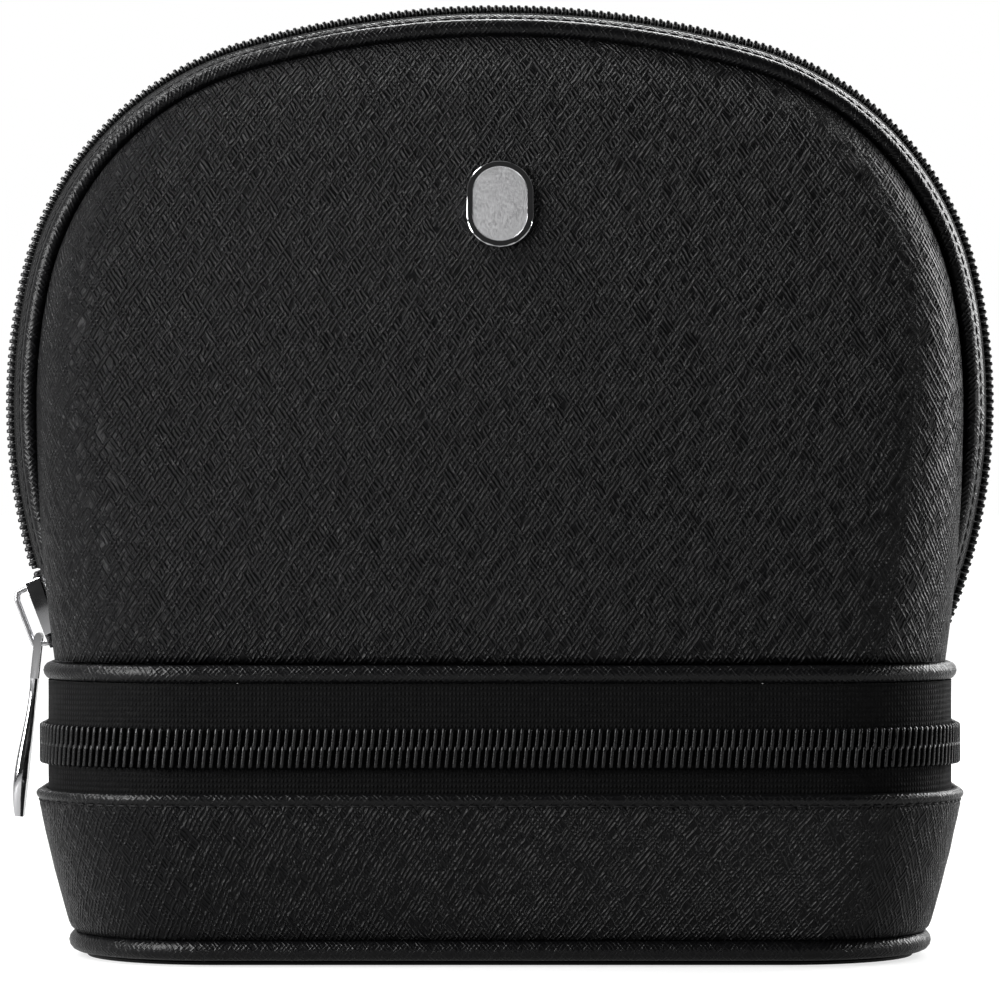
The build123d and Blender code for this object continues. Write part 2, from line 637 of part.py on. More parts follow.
# Band slider, on the rear right corner, with a ring link and a pull that hangs down.
band_axes = band_plane(band_slider_angle, 1)
sagitta = plan_corner_radius - sqrt(plan_corner_radius**2 - (slider_length / 2) ** 2)
band_channel = band_ring(
    coil_height + slider_clearance, coil_height + tape_thickness + 2 * slider_clearance,
    band_chain_z - slider_channel, band_chain_z + slider_channel,
)
band_slot = band_ring(slider_clearance, tape_thickness + 2 * slider_clearance, tape_foot_z, tape_top_z)
band_block = band_axes * slider_block(sagitta)
parts["band_slider"] = band_block - band_channel - band_slot + band_axes * slider_neck()
parts["band_slider_crown"] = band_axes * slider_crown(sagitta)
link_height = ring_link_height + sagitta
parts["band_pull_ring"] = band_axes * Pos(ring_link_drop, 0, link_height) * Rot(90, 0, 0) * Torus(
    ring_link_radius, ring_link_wire
)
bar_drop = ring_link_drop + ring_link_radius - ring_link_wire - pull_bar_radius
corner_turn = radians(band_slider_angle)
tab_origin = band_axes.from_local_coords((bar_drop, 0, link_height))
tab_axes = Plane(origin=tab_origin, x_dir=(sin(corner_turn), -cos(corner_turn), 0), z_dir=(0, 0, 1))
parts["band_pull_tab"] = tab_axes * pull_tab()

os.makedirs("parts", exist_ok=True)
for name, shape in parts.items():
    export_step(shape, f"parts/{name}.step")
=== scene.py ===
# Two-tier dome cosmetic bag in black saffiano leatherette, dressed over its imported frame.
# Sizes are in millimetres; points are turned to metres as they are laid.
import json
from math import asin, atan2, cos, hypot, pi, radians, sin, sqrt
import bmesh
import bpy
from mathutils import Matrix, Vector, noise


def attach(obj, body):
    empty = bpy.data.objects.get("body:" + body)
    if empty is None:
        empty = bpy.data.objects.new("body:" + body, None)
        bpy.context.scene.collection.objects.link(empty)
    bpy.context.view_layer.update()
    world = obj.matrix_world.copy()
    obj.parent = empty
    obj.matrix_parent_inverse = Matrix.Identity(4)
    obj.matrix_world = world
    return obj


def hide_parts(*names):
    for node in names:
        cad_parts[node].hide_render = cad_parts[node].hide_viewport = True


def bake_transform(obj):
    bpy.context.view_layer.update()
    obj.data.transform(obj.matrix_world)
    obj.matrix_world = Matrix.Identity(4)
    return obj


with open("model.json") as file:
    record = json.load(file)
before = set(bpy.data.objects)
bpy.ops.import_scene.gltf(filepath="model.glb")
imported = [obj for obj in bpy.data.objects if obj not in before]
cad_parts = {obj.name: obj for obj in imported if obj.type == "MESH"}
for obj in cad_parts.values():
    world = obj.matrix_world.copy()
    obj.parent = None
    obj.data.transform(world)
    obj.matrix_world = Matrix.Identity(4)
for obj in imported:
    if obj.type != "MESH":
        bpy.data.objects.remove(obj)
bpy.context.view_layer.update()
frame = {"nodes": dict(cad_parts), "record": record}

print("frame loaded:", len(frame["nodes"]), "nodes")


def linearColour(hexText):  # sRGB hex to the linear colour that a shader takes
    channels = [int(hexText[i:i + 2], 16) / 255 for i in (1, 3, 5)]
    return [c / 12.92 if c <= 0.04045 else ((c + 0.055) / 1.055) ** 2.4 for c in channels] + [1.0]


def addNode(finish, kind, inputs=None, **settings):  # inputs holds values, or other nodes' outputs to link
    node = finish.node_tree.nodes.new(kind)
    for name, value in settings.items():
        setattr(node, name, value)
    for socket, value in (inputs or {}).items():
        if isinstance(value, bpy.types.NodeSocket):
            finish.node_tree.links.new(value, node.inputs[socket])
        else:
            node.inputs[socket].default_value = value
    return node


def combine(finish, operation, *values):  # a Math node's value
    return addNode(finish, "ShaderNodeMath", dict(enumerate(values)), operation=operation).outputs[0]


def between(finish, value, low, high, start=0.0, end=1.0):  # low and high become start and end
    return addNode(finish, "ShaderNodeMapRange", {0: value, 1: low, 2: high, 3: start, 4: end}).outputs[0]


def noiseAt(finish, spot, scale, detail):
    return addNode(finish, "ShaderNodeTexNoise", {
        "Vector": spot, "Scale": scale, "Detail": detail}).outputs[0]


def mixColour(finish, share, low, high):
    return addNode(finish, "ShaderNodeMix", {
        "Factor": share, 6: linearColour(low), 7: linearColour(high)}, data_type="RGBA").outputs[2]


def newFinish(name, **values):  # a material and its shader, with the shader's plain values
    finish = bpy.data.materials.new(name)
    finish.use_nodes = True
    shader = finish.node_tree.nodes["Principled BSDF"]
    for socket, value in values.items():
        shader.inputs[socket.replace("_", " ")].default_value = value
    return finish, shader


def joinUp(finish, shader, colour, rough, height, depth):  # colour, roughness and bump onto the shader
    links = finish.node_tree.links
    links.new(colour, shader.inputs["Base Color"])
    links.new(rough, shader.inputs["Roughness"])
    bump = addNode(finish, "ShaderNodeBump", {"Height": height, "Strength": 1.0, "Distance": depth})
    links.new(bump.outputs["Normal"], shader.inputs["Normal"])


def patternSpot(finish, mapped):  # the piece's own pattern map in mm, or Object coordinates brought to mm
    if mapped:
        return addNode(finish, "ShaderNodeUVMap", uv_map="pattern").outputs["UV"]
    metres = addNode(finish, "ShaderNodeTexCoord").outputs["Object"]
    return addNode(finish, "ShaderNodeVectorMath", {
        0: metres, 1: (1000, 1000, 1000)}, operation="MULTIPLY").outputs[0]


waveLength = 0.314159  # a Wave texture of scale 1 repeats at this length
noiseLow, noiseHigh = 0.3, 0.7  # most of a noise lies between these

# Saffiano leatherette is a film pressed with two crossed families of fine ridges that break and cross.
# It gives the eye small bright strokes on near-black valleys. Round the cords and over turned edges
# the film is pulled tight, so its ridges are finer and lower there.
saffianoForms = {
    "saffiano leatherette": {
        "valley": "#020203", "ridge": "#131314", "pitch": 0.88, "lean": 56, "depth": 0.00036,
        "smooth": 0.2, "dull": 0.5, "gloss": 0.15,
    },
    "tight saffiano leatherette": {
        "valley": "#030304", "ridge": "#0e0e0f", "pitch": 0.8, "lean": 48, "depth": 0.00007,
        "smooth": 0.26, "dull": 0.38, "gloss": 0.24,
    },
}
pressForm = {  # what both have in common
    "waver": 2.6, "waverScale": 1.1, "waverRough": 0.6, "breakStretch": (0.2, 0.9, 1), "breakLow": 0.4,
    "breakHigh": 0.56, "crossRise": 0.6, "wornScale": 0.03, "wornShare": 0.35, "polishLow": 0.1,
    "polishHigh": 1.3,
}


def makeSaffiano(name):
    form, press = saffianoForms[name], pressForm
    finish, shader = newFinish(name, IOR=1.5, Specular_IOR_Level=form["gloss"])
    spot = patternSpot(finish, True)
    rows = []
    for turn in (form["lean"], -form["lean"]):
        turned = addNode(finish, "ShaderNodeMapping", {0: spot, "Rotation": (0, 0, radians(turn))}).outputs[0]
        wave = addNode(finish, "ShaderNodeTexWave", {
            "Vector": turned, "Scale": waveLength / form["pitch"], "Distortion": press["waver"],
            "Detail": 2.0, "Detail Scale": press["waverScale"], "Detail Roughness": press["waverRough"],
        }, bands_direction="Y").outputs["Fac"]
        strip = addNode(finish, "ShaderNodeMapping", {0: turned, "Scale": press["breakStretch"]}).outputs[0]
        broken = noiseAt(finish, strip, 1.0, 2.0)
        mask = between(finish, broken, press["breakLow"], press["breakHigh"])
        rows.append(combine(finish, "MULTIPLY", wave, mask))
    either = combine(finish, "MAXIMUM", rows[0], rows[1])
    both = combine(finish, "MULTIPLY", rows[0], rows[1])
    height = combine(finish, "MULTIPLY_ADD", both, press["crossRise"], either)
    colour = mixColour(finish, height, form["valley"], form["ridge"])
    worn = noiseAt(finish, spot, press["wornScale"], 3.0)
    polish = combine(finish, "MULTIPLY_ADD", worn, press["wornShare"], height)
    rough = between(finish, polish, press["polishLow"], press["polishHigh"], form["dull"], form["smooth"])
    joinUp(finish, shader, colour, rough, height, form["depth"])
    return finish


# The same film, unpressed, on the piping flange, the end tabs and the base cover: a faint pebble grain
# and a softer, longer highlight.
smoothForm = {
    "colour": "#080809", "light": "#101011", "grain": 0.55, "crease": 0.35, "creaseRise": 2.2,
    "depth": 0.00004, "smooth": 0.3, "dull": 0.46, "gloss": 0.26,
}


def makeSmooth():
    form = smoothForm
    finish, shader = newFinish("smooth leatherette", IOR=1.5, Specular_IOR_Level=form["gloss"])
    spot = patternSpot(finish, True)
    pebble = addNode(finish, "ShaderNodeTexVoronoi", {
        "Vector": spot, "Scale": 1 / form["grain"]}).outputs["Distance"]
    crease = noiseAt(finish, spot, form["crease"], 4.0)
    height = combine(finish, "MULTIPLY_ADD", crease, form["creaseRise"], pebble)
    colour = mixColour(finish, crease, form["colour"], form["light"])
    rough = between(finish, crease, noiseLow, noiseHigh, form["smooth"], form["dull"])
    joinUp(finish, shader, colour, rough, height, form["depth"])
    return finish


# Cloths are plain woven polyester, which gives the eye a soft dull grid. Their threads are near 0.3 mm,
# and are drawn at the pitches below so that they show.
clothForms = {
    "woven zip tape": {
        "under": "#020202", "over": "#0b0b0c", "warp": 0.8, "weft": 1.1, "depth": 0.0002,
        "sheen": 0.02, "gloss": 0.1,
    },
    "lining cloth": {
        "under": "#0b0b0d", "over": "#1d1d20", "warp": 0.9, "weft": 0.9, "depth": 0.0001,
        "sheen": 0.05, "gloss": 0.08,
    },
}
weaveForm = {"waver": 0.7, "slub": 0.5, "slubRise": 0.5, "smooth": 0.72, "dull": 0.9}


def makeCloth(name):
    form = clothForms[name]
    finish, shader = newFinish(name, IOR=1.53, Sheen_Weight=form["sheen"], Sheen_Roughness=0.4,
                               Specular_IOR_Level=form["gloss"])
    spot = patternSpot(finish, True)
    threads = []
    for direction, pitch in (("X", form["warp"]), ("Y", form["weft"])):
        threads.append(addNode(finish, "ShaderNodeTexWave", {
            "Vector": spot, "Scale": waveLength / pitch, "Distortion": weaveForm["waver"], "Detail": 2.0,
            "Detail Scale": 2.0}, bands_direction=direction).outputs["Fac"])
    weave = combine(finish, "MULTIPLY", threads[0], threads[1])
    slub = noiseAt(finish, spot, weaveForm["slub"], 3.0)
    height = combine(finish, "MULTIPLY_ADD", slub, weaveForm["slubRise"], weave)
    colour = mixColour(finish, height, form["under"], form["over"])
    rough = between(finish, slub, noiseLow, noiseHigh, weaveForm["smooth"], weaveForm["dull"])
    joinUp(finish, shader, colour, rough, height, form["depth"])
    return finish


# Plain solids: nylon monofilament, which glints, spun thread, and dull grey fibreboard.
# Their grain is in Object coordinates.
plainForms = {
    "nylon coil": {
        "low": "#060607", "high": "#0e0e0f", "scale": 0.8, "smooth": 0.22, "dull": 0.34, "depth": 0.00002,
        "gloss": 0.35,
    },
    "spun thread": {
        "low": "#060607", "high": "#121213", "scale": 2.5, "smooth": 0.5, "dull": 0.7, "depth": 0.00005,
        "gloss": 0.25,
    },
    "grey fibreboard": {
        "low": "#57534c", "high": "#77726a", "scale": 0.9, "smooth": 0.8, "dull": 0.95, "depth": 0.00005,
        "gloss": 0.4,
    },
}


def makePlain(name):
    form = plainForms[name]
    finish, shader = newFinish(name, IOR=1.53, Specular_IOR_Level=form["gloss"])
    spot = patternSpot(finish, False)
    grain = noiseAt(finish, spot, form["scale"], 4.0)
    colour = mixColour(finish, grain, form["low"], form["high"])
    rough = between(finish, grain, noiseLow, noiseHigh, form["smooth"], form["dull"])
    joinUp(finish, shader, colour, rough, grain, form["depth"])
    return finish


# Zinc castings under bright nickel plate, which mirror the room, and a badge face brushed up and down.
metalForms = {
    "polished zinc": {
        "low": "#c9c9cc", "high": "#dededf", "stretch": (1, 1, 1), "scale": 0.25,
        "smooth": 0.05, "dull": 0.11, "depth": 0.000004,
    },
    "brushed badge": {
        "low": "#dcdcde", "high": "#f0f0f1", "stretch": (7, 7, 0.1), "scale": 1.0,
        "smooth": 0.4, "dull": 0.55, "depth": 0.000004,
    },
}
marksLow, marksHigh = 0.35, 0.65  # most of the marks' noise lies between these


def makeMetal(name):
    form = metalForms[name]
    finish, shader = newFinish(name, Metallic=1.0)
    spot = patternSpot(finish, False)
    drawn = addNode(finish, "ShaderNodeMapping", {0: spot, "Scale": form["stretch"]}).outputs[0]
    marks = noiseAt(finish, drawn, form["scale"], 5.0)
    colour = mixColour(finish, marks, form["low"], form["high"])
    rough = between(finish, marks, marksLow, marksHigh, form["smooth"], form["dull"])
    joinUp(finish, shader, colour, rough, marks, form["depth"])
    return finish


saffiano = makeSaffiano("saffiano leatherette")
tightSaffiano = makeSaffiano("tight saffiano leatherette")
smoothFilm = makeSmooth()
wovenTape = makeCloth("woven zip tape")
liningCloth = makeCloth("lining cloth")
nylon = makePlain("nylon coil")
thread = makePlain("spun thread")
fibreboard = makePlain("grey fibreboard")
zinc = makeMetal("polished zinc")
brushed = makeMetal("brushed badge")
print("materials made")

# The bag's two outlines. The arch is seen from the front, and the plan from above.
arch = {
    "height": 200.6, "halfWidth": 105.0, "sideRadius": 123.7, "sideCentreZ": 115.8,
    "shoulderStart": 12.5, "shoulderRadius": 67.7, "footZ": 62.0,
}
band = {
    "halfWidth": 94.7, "halfDepth": 45.4, "corner": 30.0, "chainZ": 44.7, "tapeLowZ": 28.7, "tapeHighZ": 57.9,
}

sideX = arch["halfWidth"] - arch["sideRadius"]
shoulderAngle = radians(arch["shoulderStart"])
shoulderArm = arch["sideRadius"] - arch["shoulderRadius"]
shoulderX = sideX + shoulderArm * cos(shoulderAngle)
shoulderZ = arch["sideCentreZ"] + shoulderArm * sin(shoulderAngle)
shoulderDrop = shoulderZ - arch["height"]
topSpan = arch["shoulderRadius"] ** 2 - shoulderX ** 2 - shoulderDrop ** 2
topRadius = topSpan / 2 / (shoulderDrop + arch["shoulderRadius"])
topZ = arch["height"] - topRadius
topStart = atan2(shoulderZ - topZ, shoulderX)
topRun = topRadius * (pi / 2 - topStart)
shoulderRun = arch["shoulderRadius"] * (topStart - shoulderAngle)
levelRun = topRun + shoulderRun + arch["sideRadius"] * shoulderAngle


def archAngle(reach):  # angle above the horizontal, at a distance along the arch from its top
    run = abs(reach)
    if run <= topRun:
        return pi / 2 - run / topRadius
    if run <= topRun + shoulderRun:
        return topStart - (run - topRun) / arch["shoulderRadius"]
    return shoulderAngle - (run - topRun - shoulderRun) / arch["sideRadius"]


# A point of the arch, drawn in. Below the arch's widest place it keeps its height, unless it is square.
def archPlace(reach, inset, square=False):
    run, side, angle = abs(reach), (1 if reach >= 0 else -1), archAngle(reach)
    if run <= topRun:
        return side * (topRadius - inset) * cos(angle), topZ + (topRadius - inset) * sin(angle)
    if run <= topRun + shoulderRun:
        radius = arch["shoulderRadius"] - inset
        return side * (shoulderX + radius * cos(angle)), shoulderZ + radius * sin(angle)
    radius = arch["sideRadius"] - inset
    if angle >= 0 or square:
        return side * (sideX + radius * cos(angle)), arch["sideCentreZ"] + radius * sin(angle)
    rise = arch["sideRadius"] * sin(angle)
    return side * (sideX + sqrt(radius ** 2 - rise ** 2)), arch["sideCentreZ"] + rise


def reachOf(height):  # distance along the arch from its top down to a height on its lower side
    return levelRun - arch["sideRadius"] * asin((height - arch["sideCentreZ"]) / arch["sideRadius"])


footReach = reachOf(arch["footZ"])

frontRun = band["halfWidth"] - band["corner"]
sideRun = 2 * (band["halfDepth"] - band["corner"])
cornerRun = band["corner"] * pi / 2
planRun = 4 * frontRun + 2 * sideRun + 4 * cornerRun


def planPlace(run, halfWidth, halfDepth, corner):  # a point round the plan, from the middle of its front
    run = run % planRun
    side = 1
    if run > planRun / 2:
        run, side = planRun - run, -1
    straightX, straightY = halfWidth - corner, halfDepth - corner
    if run <= frontRun:
        return side * straightX * run / frontRun, -halfDepth
    run -= frontRun
    if run <= cornerRun:
        angle = run / cornerRun * pi / 2
        return side * (straightX + corner * sin(angle)), -straightY - corner * cos(angle)
    run -= cornerRun
    if run <= sideRun:
        return side * halfWidth, straightY * (2 * run / sideRun - 1)
    run -= sideRun
    if run <= cornerRun:
        angle = run / cornerRun * pi / 2
        return side * (straightX + corner * cos(angle)), straightY + corner * sin(angle)
    return side * straightX * (1 - (run - cornerRun) / frontRun), halfDepth


def cornerRunAt(angle):  # distance round the plan to a rear corner's angle
    return frontRun + cornerRun + sideRun + cornerRun * angle / 90


def layGrid(alongCount, acrossCount, place):  # a flat grid, each point laid where place says, with its map
    bm = bmesh.new()
    bmesh.ops.create_grid(bm, x_segments=alongCount, y_segments=acrossCount, size=0.5)
    pattern = bm.loops.layers.uv.new("pattern")
    mapped = {}
    for vert in bm.verts:
        spot, mapped[vert] = place(round(vert.co.x + 0.5, 6), round(vert.co.y + 0.5, 6))
        vert.co = Vector(spot) / 1000
    for face in bm.faces:
        for loop in face.loops:
            loop[pattern].uv = mapped[loop.vert]
    bmesh.ops.remove_doubles(bm, verts=bm.verts, dist=2e-6)
    return bm


def capEnds(bm):
    bmesh.ops.holes_fill(bm, edges=[edge for edge in bm.edges if edge.is_boundary], sides=0)
    return bm


bagMiddle = Vector((0, 0, 0.09))


def finishPiece(name, bm, finish, body=None, nodes=(), sharp=None):
    bmesh.ops.recalc_face_normals(bm, faces=bm.faces)
    if sum((f.calc_center_median() - bagMiddle).dot(f.normal) * f.calc_area() for f in bm.faces) < 0:
        bmesh.ops.reverse_faces(bm, faces=bm.faces)
    mesh = bpy.data.meshes.new(name)
    bm.to_mesh(mesh)
    bm.free()
    mesh.shade_smooth()
    if sharp:
        mesh.set_sharp_from_angle(angle=radians(sharp))
    piece = bpy.data.objects.new(name, mesh)
    bpy.context.scene.collection.objects.link(piece)
    mesh.materials.append(finish)
    if body:
        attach(piece, body)
    if nodes:
        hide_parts(*nodes)
    return piece


def profileRuns(profile):  # how far along a profile each of its points is
    runs = [0.0]
    for a, b in zip(profile, profile[1:]):
        runs.append(runs[-1] + hypot(*[q - p for p, q in zip(a, b)][-2:]))
    return runs


leatherWave = {"alongArch": 5, "acrossArch": 3, "seed": 0.5, "roundPlan": 16, "upPlan": 4}


def archSweep(profile, start, end, step=1.6, ripple=0.0):  # (inset, y) points, swept along the arch
    count = max(2, round((end - start) / step))
    runs = profileRuns(profile)
    last = len(profile) - 1
    form = leatherWave

    def place(along, across):
        reach = start + (end - start) * along
        inset, y = profile[round(across * last)]
        wave = Vector((reach / form["alongArch"], y / form["acrossArch"], form["seed"]))
        x, z = archPlace(reach, inset + ripple * noise.noise(wave))
        return (x, y, z), (reach, runs[round(across * last)])

    return layGrid(count, last, place)


# Rings of (half width, half depth, corner, z), joined round the plan.
def planSweep(rings, start=0.0, end=planRun, step=1.6, ripple=0.0):
    count = max(2, round((end - start) / step))
    runs = profileRuns([(ring[1], ring[3]) for ring in rings])
    last = len(rings) - 1
    form = leatherWave

    def place(along, across):
        run = start + (end - start) * along
        halfWidth, halfDepth, corner, z = rings[round(across * last)]
        turn = 2 * pi * run / planRun
        wave = Vector((cos(turn) * form["roundPlan"], sin(turn) * form["roundPlan"], z / form["upPlan"]))
        loose = ripple * noise.noise(wave)
        x, y = planPlace(run, halfWidth + loose, halfDepth + loose, corner + loose)
        return (x, y, z), (run, runs[round(across * last)])

    return layGrid(count, last, place)


def bandRings(points):  # rings from (offset outside the zip tape, z) points
    return [(band["halfWidth"] + o, band["halfDepth"] + o, band["corner"] + o, z) for o, z in points]


def roundProfile(a, b, radius, sides=14):  # a closed ring of points round (a, b)
    turns = [2 * pi * i / sides for i in range(sides)] + [0.0]
    return [(a + radius * cos(turn), b + radius * sin(turn)) for turn in turns]


# Camera at the photograph's height and distance: 213 mm across the frame at the middle of the bag.
view = {"distance": 1.1, "height": 0.0954, "frameWidth": 0.213, "sensor": 36}
camera = bpy.data.objects.new("camera", bpy.data.cameras.new("camera"))
bpy.context.scene.collection.objects.link(camera)
camera.location = (0, -view["distance"], view["height"])
camera.rotation_euler = (radians(90), 0, 0)
camera.data.sensor_width = view["sensor"]
camera.data.lens = view["sensor"] * view["distance"] / view["frameWidth"]
bpy.context.scene.camera = camera
bpy.context.scene.view_settings.view_transform = "Standard"

# Soft lamps: a small one near the left end of the front, so that the panel fades to its right, and larger
# ones further off. The room is white behind the bag and dim behind the camera, as a studio is, and what
# the camera sees straight on is plain white.
lamps = {
    "leftPanel": {"at": (-0.3, -0.23, 0.19), "size": (0.18, 0.26), "power": 2.0},
    "rightPanel": {"at": (0.75, -0.22, 0.17), "size": (0.06, 0.12), "power": 0.9},
    "sidePanel": {"at": (0.62, 0.42, 0.38), "size": (0.4, 0.5), "power": 5.5},
    "topPanel": {"at": (-0.45, 0.0, 0.85), "size": (0.5, 0.2), "power": 5.0},
    "frontPanel": {"at": (-1.1, -1.0, 0.7), "size": (0.3, 0.5), "power": 3.0},
    "backPanel": {"at": (0.3, 1.1, 0.9), "size": (1.0, 0.6), "power": 16.0},
}
room = {"dim": 0.03, "bright": 0.5, "backdrop": 1.0, "dimY": -0.4, "brightY": 0.6, "aim": (0, 0, 0.1)}
for name, lamp in lamps.items():
    light = bpy.data.lights.new(name, "AREA")
    light.shape = "RECTANGLE"
    light.size, light.size_y = lamp["size"]
    light.energy = lamp["power"]
    holder = bpy.data.objects.new(name, light)
    bpy.context.scene.collection.objects.link(holder)
    holder.location = lamp["at"]
    holder.visible_camera = False
    holder.rotation_euler = (Vector(lamp["at"]) - Vector(room["aim"])).to_track_quat("Z", "Y").to_euler()

world = bpy.data.worlds.new("studio")
bpy.context.scene.world = world
world.use_nodes = True
background = world.node_tree.nodes["Background"]
background.inputs["Color"].default_value = (1, 1, 1, 1)
cameraRay = addNode(world, "ShaderNodeLightPath").outputs["Is Camera Ray"]
toward = addNode(world, "ShaderNodeSeparateXYZ", {
    0: addNode(world, "ShaderNodeTexCoord").outputs["Generated"]})
around = addNode(world, "ShaderNodeMapRange", {
    0: toward.outputs["Y"], 1: room["dimY"], 2: room["brightY"], 3: room["dim"], 4: room["bright"],
}, interpolation_type="SMOOTHSTEP")
level = addNode(world, "ShaderNodeMix", {"Factor": cameraRay, 2: around.outputs[0], 3: room["backdrop"]})
world.node_tree.links.new(level.outputs[0], background.inputs["Strength"])

# A pale matt floor that glows to white away from the bag, for the camera and a little for mirrors.
floorForm = {
    "half": 30.0, "drop": 0.0002, "colour": "#9c9c9c", "nearGlow": 0.7, "farGlow": 1.0, "nearEdge": 0.25,
    "farEdge": 1.0, "mirrorShare": 0.2,
}
floorFinish, floorShader = newFinish("white floor", Roughness=0.9, IOR=1.45)
floorShader.inputs["Base Color"].default_value = linearColour(floorForm["colour"])
floorShader.inputs["Emission Color"].default_value = (1, 1, 1, 1)
ray = addNode(floorFinish, "ShaderNodeLightPath")
glowShare = combine(floorFinish, "MULTIPLY_ADD", ray.outputs["Is Glossy Ray"], floorForm["mirrorShare"],
                    ray.outputs["Is Camera Ray"])
spread = addNode(floorFinish, "ShaderNodeVectorMath", {
    0: addNode(floorFinish, "ShaderNodeTexCoord").outputs["Object"]}, operation="LENGTH").outputs["Value"]
paling = between(floorFinish, spread, floorForm["nearEdge"], floorForm["farEdge"], floorForm["nearGlow"],
                 floorForm["farGlow"])
glow = combine(floorFinish, "MULTIPLY", glowShare, paling)
floorFinish.node_tree.links.new(glow, floorShader.inputs["Emission Strength"])
floorMesh = bmesh.new()
bmesh.ops.create_grid(floorMesh, x_segments=1, y_segments=1, size=floorForm["half"])
floorData = bpy.data.meshes.new("floor")
floorMesh.to_mesh(floorData)
floorMesh.free()
floorData.materials.append(floorFinish)
floor = bpy.data.objects.new("floor", floorData)
bpy.context.scene.collection.objects.link(floor)
floorData.transform(Matrix.Translation((0, 0, -floorForm["drop"])))
print("camera, lamps and floor set")

# Upper shells: leatherette on stiffener board, from the arch seam over a rounded corner to the flat face.
shell = {
    "footHalfWidth": 93.2, "footHalfDepth": 46.0, "shoulderZ": 182.0, "shoulderHalfDepth": 24.5,
    "slope": 1.25, "crown": 1.0, "crownWidth": 70, "tuck": 0.9, "tuckHeight": 2.6, "waver": 0.3,
    "waverWidth": 42, "waverHeight": 36, "waverSeed": 3.3, "badgeFlat": 12, "badgeFade": 25,
    "wallInset": 8.0, "wallDepth": 18.3, "seamInset": 6.6, "seamDepth": 16.8, "seamCurve": 1.5,
    "seamWidth": 3, "spineRise": 24.0, "roll": 10.2,
    "blend": 9, "ease": 1.2, "squareness": 0.8, "arcShare": 1.11, "arcFade": 0.11, "columns": 212, "rows": 50,
    "cornerFrom": 0.06, "cornerShare": 0.4, "faceFrom": 0.46, "faceShare": 0.54,  # shares of the rows
    "thickness": 2.9, "liningInset": 3.1, "liningThickness": 0.5,
}
badge = {
    "width": 14.0, "height": 18.5, "thickness": 1.2, "z": 156.5, "seat": 0.1, "bevel": 0.35, "rim": 0.9,
    "groove": 0.15, "prongRise": 4.5, "prongRadius": 0.6, "prongLength": 2.6, "prongMiddle": -1.2,
}


def slopedDepth(z):  # half depth of a shell's plain sloping face
    share = max((z - arch["footZ"]) / (shell["shoulderZ"] - arch["footZ"]), 0)
    narrowing = shell["footHalfDepth"] - shell["shoulderHalfDepth"]
    return shell["footHalfDepth"] - narrowing * share ** shell["slope"]


def shellDepth(x, z, side):  # half depth of a shell, with a slight crown, a slow waver and a tucked foot
    depth = slopedDepth(z)
    depth -= shell["crown"] * (x / shell["crownWidth"]) ** 2
    depth -= shell["tuck"] * max(1 - (z - arch["footZ"]) / shell["tuckHeight"], 0) ** 2
    away = 1
    if side < 0:  # the front lies flat under its badge
        away = min(max((hypot(x, z - badge["z"]) - shell["badgeFlat"]) / shell["badgeFade"], 0), 1)
    wave = Vector((x / shell["waverWidth"], z / shell["waverHeight"], side * shell["waverSeed"]))
    return depth + shell["waver"] * away * noise.noise(wave)


def shellWall(reach, drawn):  # the shell's wall line, drawn in
    x, z = archPlace(reach, shell["wallInset"] + drawn)
    if abs(reach) > levelRun:
        widest = arch["halfWidth"] - shell["wallInset"]
        share = (arch["sideCentreZ"] - z) / (arch["sideCentreZ"] - arch["footZ"])
        x = (widest - (widest - shell["footHalfWidth"]) * share ** 2 - drawn) * (1 if reach > 0 else -1)
    return x, z


def shellGrid(side, layer):  # side is -1 for the front shell and 1 for the back one
    form = shell

    def place(along, across):
        reach = footReach * (1 - 2 * along)
        seam, wall = archPlace(reach, form["seamInset"] + layer), shellWall(reach, layer)
        bend = shellDepth(*wall, side) - form["wallDepth"]
        roll = (bend + form["roll"] + sqrt((bend - form["roll"]) ** 2 + form["blend"])) / 2
        corner = roll * form["ease"] - layer
        turned = shellWall(reach, layer + corner)
        out = (Vector(wall) - Vector(turned)).normalized()
        if across < form["cornerFrom"]:  # from the seam out to the wall
            share = across / form["cornerFrom"]
            x, z = [a + (b - a) * share for a, b in zip(seam, wall)]
            y = form["seamDepth"] + (form["wallDepth"] - form["seamDepth"]) * share ** form["seamCurve"]
            arc = form["arcShare"] * hypot(corner, bend)
            flat = Vector(turned) + out * (arc + (1 - share) * form["seamWidth"])
        elif across < form["faceFrom"]:  # round the corner
            angle = (across - form["cornerFrom"]) / form["cornerShare"] * pi / 2
            left = cos(angle) ** form["squareness"]
            x, z = shellWall(reach, layer + corner * (1 - left))
            y = form["wallDepth"] + (shellDepth(x, z, side) - layer - form["wallDepth"]) * sin(angle)
            chord = hypot(corner * left, (y - shellDepth(x, z, side) + layer))
            flat = Vector(turned) + out * chord * (form["arcShare"] - form["arcFade"] * sin(angle))
        else:  # over the face to its spine
            spineZ = turned[1]
            if abs(reach) <= levelRun:
                spineZ = arch["sideCentreZ"] + form["spineRise"] * sin(archAngle(reach))
            share = (across - form["faceFrom"]) / form["faceShare"]
            x, z = [a + (b - a) * share for a, b in zip(turned, (0, spineZ))]
            y = shellDepth(x, z, side) - layer
            flat = Vector((x, z))
        return (x, side * y, z), (flat[0] * -side, flat[1])

    return layGrid(form["columns"], form["rows"], place)


def thicken(piece, thickness):  # leather and cloth get their thickness from a live modifier
    wall = piece.modifiers.new("thickness", "SOLIDIFY")
    wall.thickness = thickness / 1000
    wall.offset = -1
    wall.use_even_offset = True


